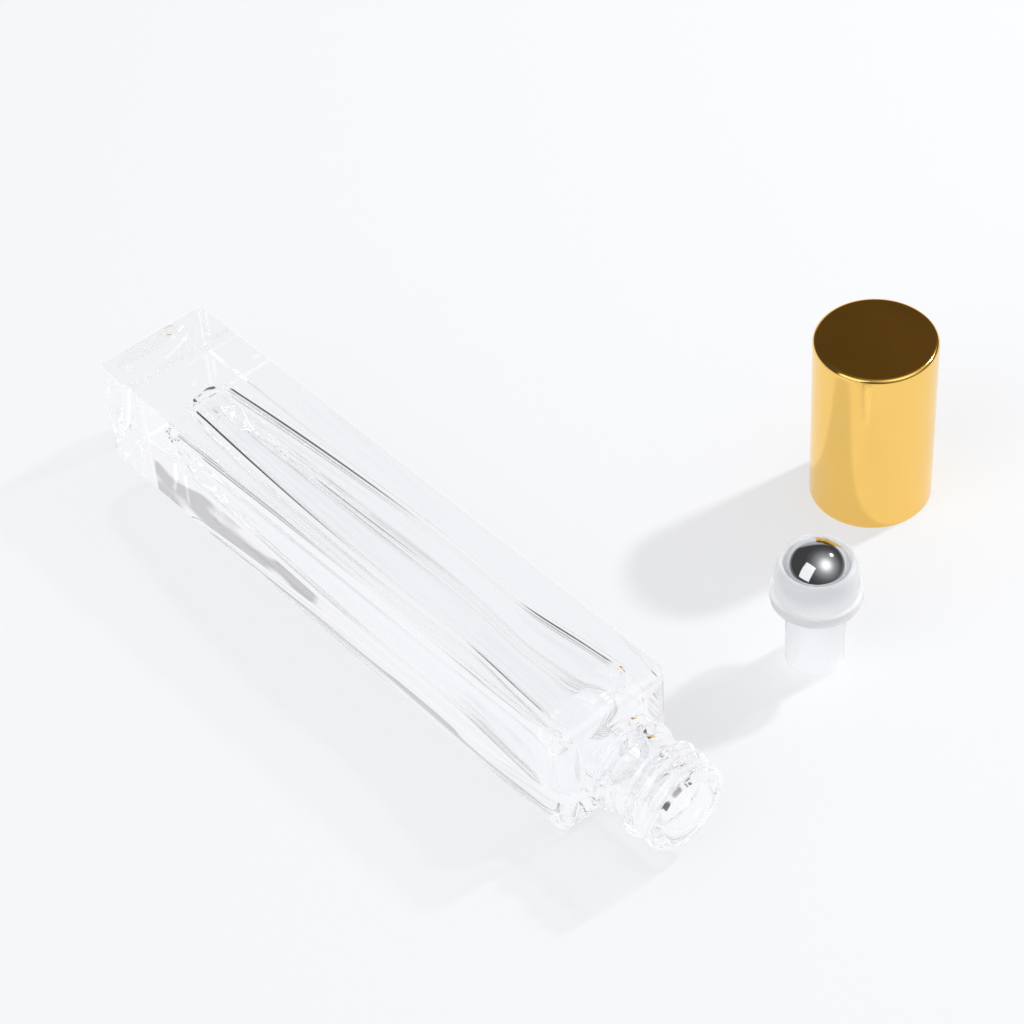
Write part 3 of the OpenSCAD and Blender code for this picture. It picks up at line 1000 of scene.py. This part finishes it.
def set_world(settings):
    """Even light all round. The camera sees the backdrop, and metal and glass see a studio."""
    world = bpy.data.worlds.new("studio")
    world.use_nodes = True
    tree = world.node_tree
    tree.nodes.clear()
    path = add_node(tree, "ShaderNodeLightPath")
    place = add_node(tree, "ShaderNodeTexCoord")
    cool = 1.02
    shown = (settings.ambient, settings.ambient, cool * settings.ambient, 1)
    shown = blended(tree, path.outputs["Is Glossy Ray"], shown, studio_for_metal(tree, place))
    shown = blended(tree, path.outputs["Is Transmission Ray"], shown, studio_for_glass(tree, place))
    shown = blended(tree, path.outputs["Is Camera Ray"], shown, opaque(settings.backdrop))
    light = add_node(tree, "ShaderNodeBackground", links={"Color": shown})
    add_node(tree, "ShaderNodeOutputWorld", links={"Surface": light.outputs["Background"]})
    bpy.context.scene.world = world


class PieceOperator:
    """What the operators share"""

    bl_options = {"REGISTER", "UNDO"}

    @classmethod
    def poll(cls, context):
        return context.scene is not None


class ROLLON_OT_glass_bottle(PieceOperator, bpy.types.Operator):
    """Model the glass bottle with its foot, cavity and threaded neck"""

    bl_idname = "roll_on.glass_bottle"
    bl_label = "Glass bottle"

    def execute(self, context):
        settings = context.scene.roll_on_bottle
        put_on(build_glass_bottle(settings), clear_glass(settings), "bottle", "glass_bottle")
        return {"FINISHED"}


class ROLLON_OT_roller_housing(PieceOperator, bpy.types.Operator):
    """Model the milky housing that presses into the neck and holds the ball"""

    bl_idname = "roll_on.roller_housing"
    bl_label = "Roller housing"

    def execute(self, context):
        settings = context.scene.roll_on_roller
        piece = build_roller_housing(settings)
        put_on(piece, milky_plastic(settings), "plug", "roller_housing")
        return {"FINISHED"}


class ROLLON_OT_steel_ball(PieceOperator, bpy.types.Operator):
    """Model the polished steel ball"""

    bl_idname = "roll_on.steel_ball"
    bl_label = "Steel ball"

    def execute(self, context):
        settings = context.scene.roll_on_roller
        put_on(build_steel_ball(), polished_steel(settings), "ball", "steel_ball")
        return {"FINISHED"}


class ROLLON_OT_cap_shell(PieceOperator, bpy.types.Operator):
    """Model the gold shell of the cap"""

    bl_idname = "roll_on.cap_shell"
    bl_label = "Cap shell"

    def execute(self, context):
        settings = context.scene.roll_on_cap
        put_on(build_cap_shell(settings), bright_gold(settings), "cap", "cap_shell")
        return {"FINISHED"}


class ROLLON_OT_cap_liner(PieceOperator, bpy.types.Operator):
    """Model the threaded liner inside the cap"""

    bl_idname = "roll_on.cap_liner"
    bl_label = "Cap liner"

    def execute(self, context):
        settings = context.scene.roll_on_cap
        piece = build_cap_liner(settings, context.scene.roll_on_bottle)
        put_on(piece, white_plastic(settings), "cap", "cap_liner")
        return {"FINISHED"}


class ROLLON_OT_stage(PieceOperator, bpy.types.Operator):
    """Set the camera, the pale floor and the soft studio light"""

    bl_idname = "roll_on.stage"
    bl_label = "Camera, floor and light"

    def execute(self, context):
        settings = context.scene.roll_on_stage
        context.scene.view_settings.view_transform = "Standard"
        set_light_paths(context.scene)
        set_camera(settings)
        build_floor(settings)
        set_world(settings)
        target = Vector((settings.target_x, settings.target_y, 0))
        add_lamp("key_lamp", KEY_DIRECTION, KEY_SIZE, settings.key_power, target)
        add_lamp("fill_lamp", FILL_DIRECTION, FILL_SIZE, settings.fill_power, target)
        return {"FINISHED"}


class ROLLON_PT_panel(bpy.types.Panel):
    """Lists the pieces and the stage, with their sizes and colours"""

    bl_idname = "ROLLON_PT_panel"
    bl_label = "Roll-on bottle"
    bl_space_type = "VIEW_3D"
    bl_region_type = "UI"
    bl_category = "Roll-on bottle"

    def draw(self, context):
        for operators, name in SECTIONS:
            box = self.layout.box()
            for operator in operators:
                box.operator(operator.bl_idname)
            settings = getattr(context.scene, name)
            for key in settings.__annotations__:
                box.prop(settings, key)


SETTINGS = {
    "roll_on_bottle": BottleSettings,
    "roll_on_roller": RollerSettings,
    "roll_on_cap": CapSettings,
    "roll_on_stage": StageSettings,
}
SECTIONS = [
    ([ROLLON_OT_glass_bottle], "roll_on_bottle"),
    ([ROLLON_OT_roller_housing, ROLLON_OT_steel_ball], "roll_on_roller"),
    ([ROLLON_OT_cap_shell, ROLLON_OT_cap_liner], "roll_on_cap"),
    ([ROLLON_OT_stage], "roll_on_stage"),
]
OPERATORS = [operator for operators, _ in SECTIONS for operator in operators]


def register():
    for made in [*SETTINGS.values(), *OPERATORS, ROLLON_PT_panel]:
        bpy.utils.register_class(made)
    for name, settings in SETTINGS.items():
        setattr(bpy.types.Scene, name, PointerProperty(type=settings))


def unregister():
    for name in SETTINGS:
        delattr(bpy.types.Scene, name)
    for made in reversed([*SETTINGS.values(), *OPERATORS, ROLLON_PT_panel]):
        bpy.utils.unregister_class(made)


def main():
    register()
    bpy.ops.roll_on.stage()
    bpy.ops.roll_on.glass_bottle()
    bpy.ops.roll_on.roller_housing()
    bpy.ops.roll_on.steel_ball()
    bpy.ops.roll_on.cap_shell()
    bpy.ops.roll_on.cap_liner()


if __name__ == "__main__":
    main()
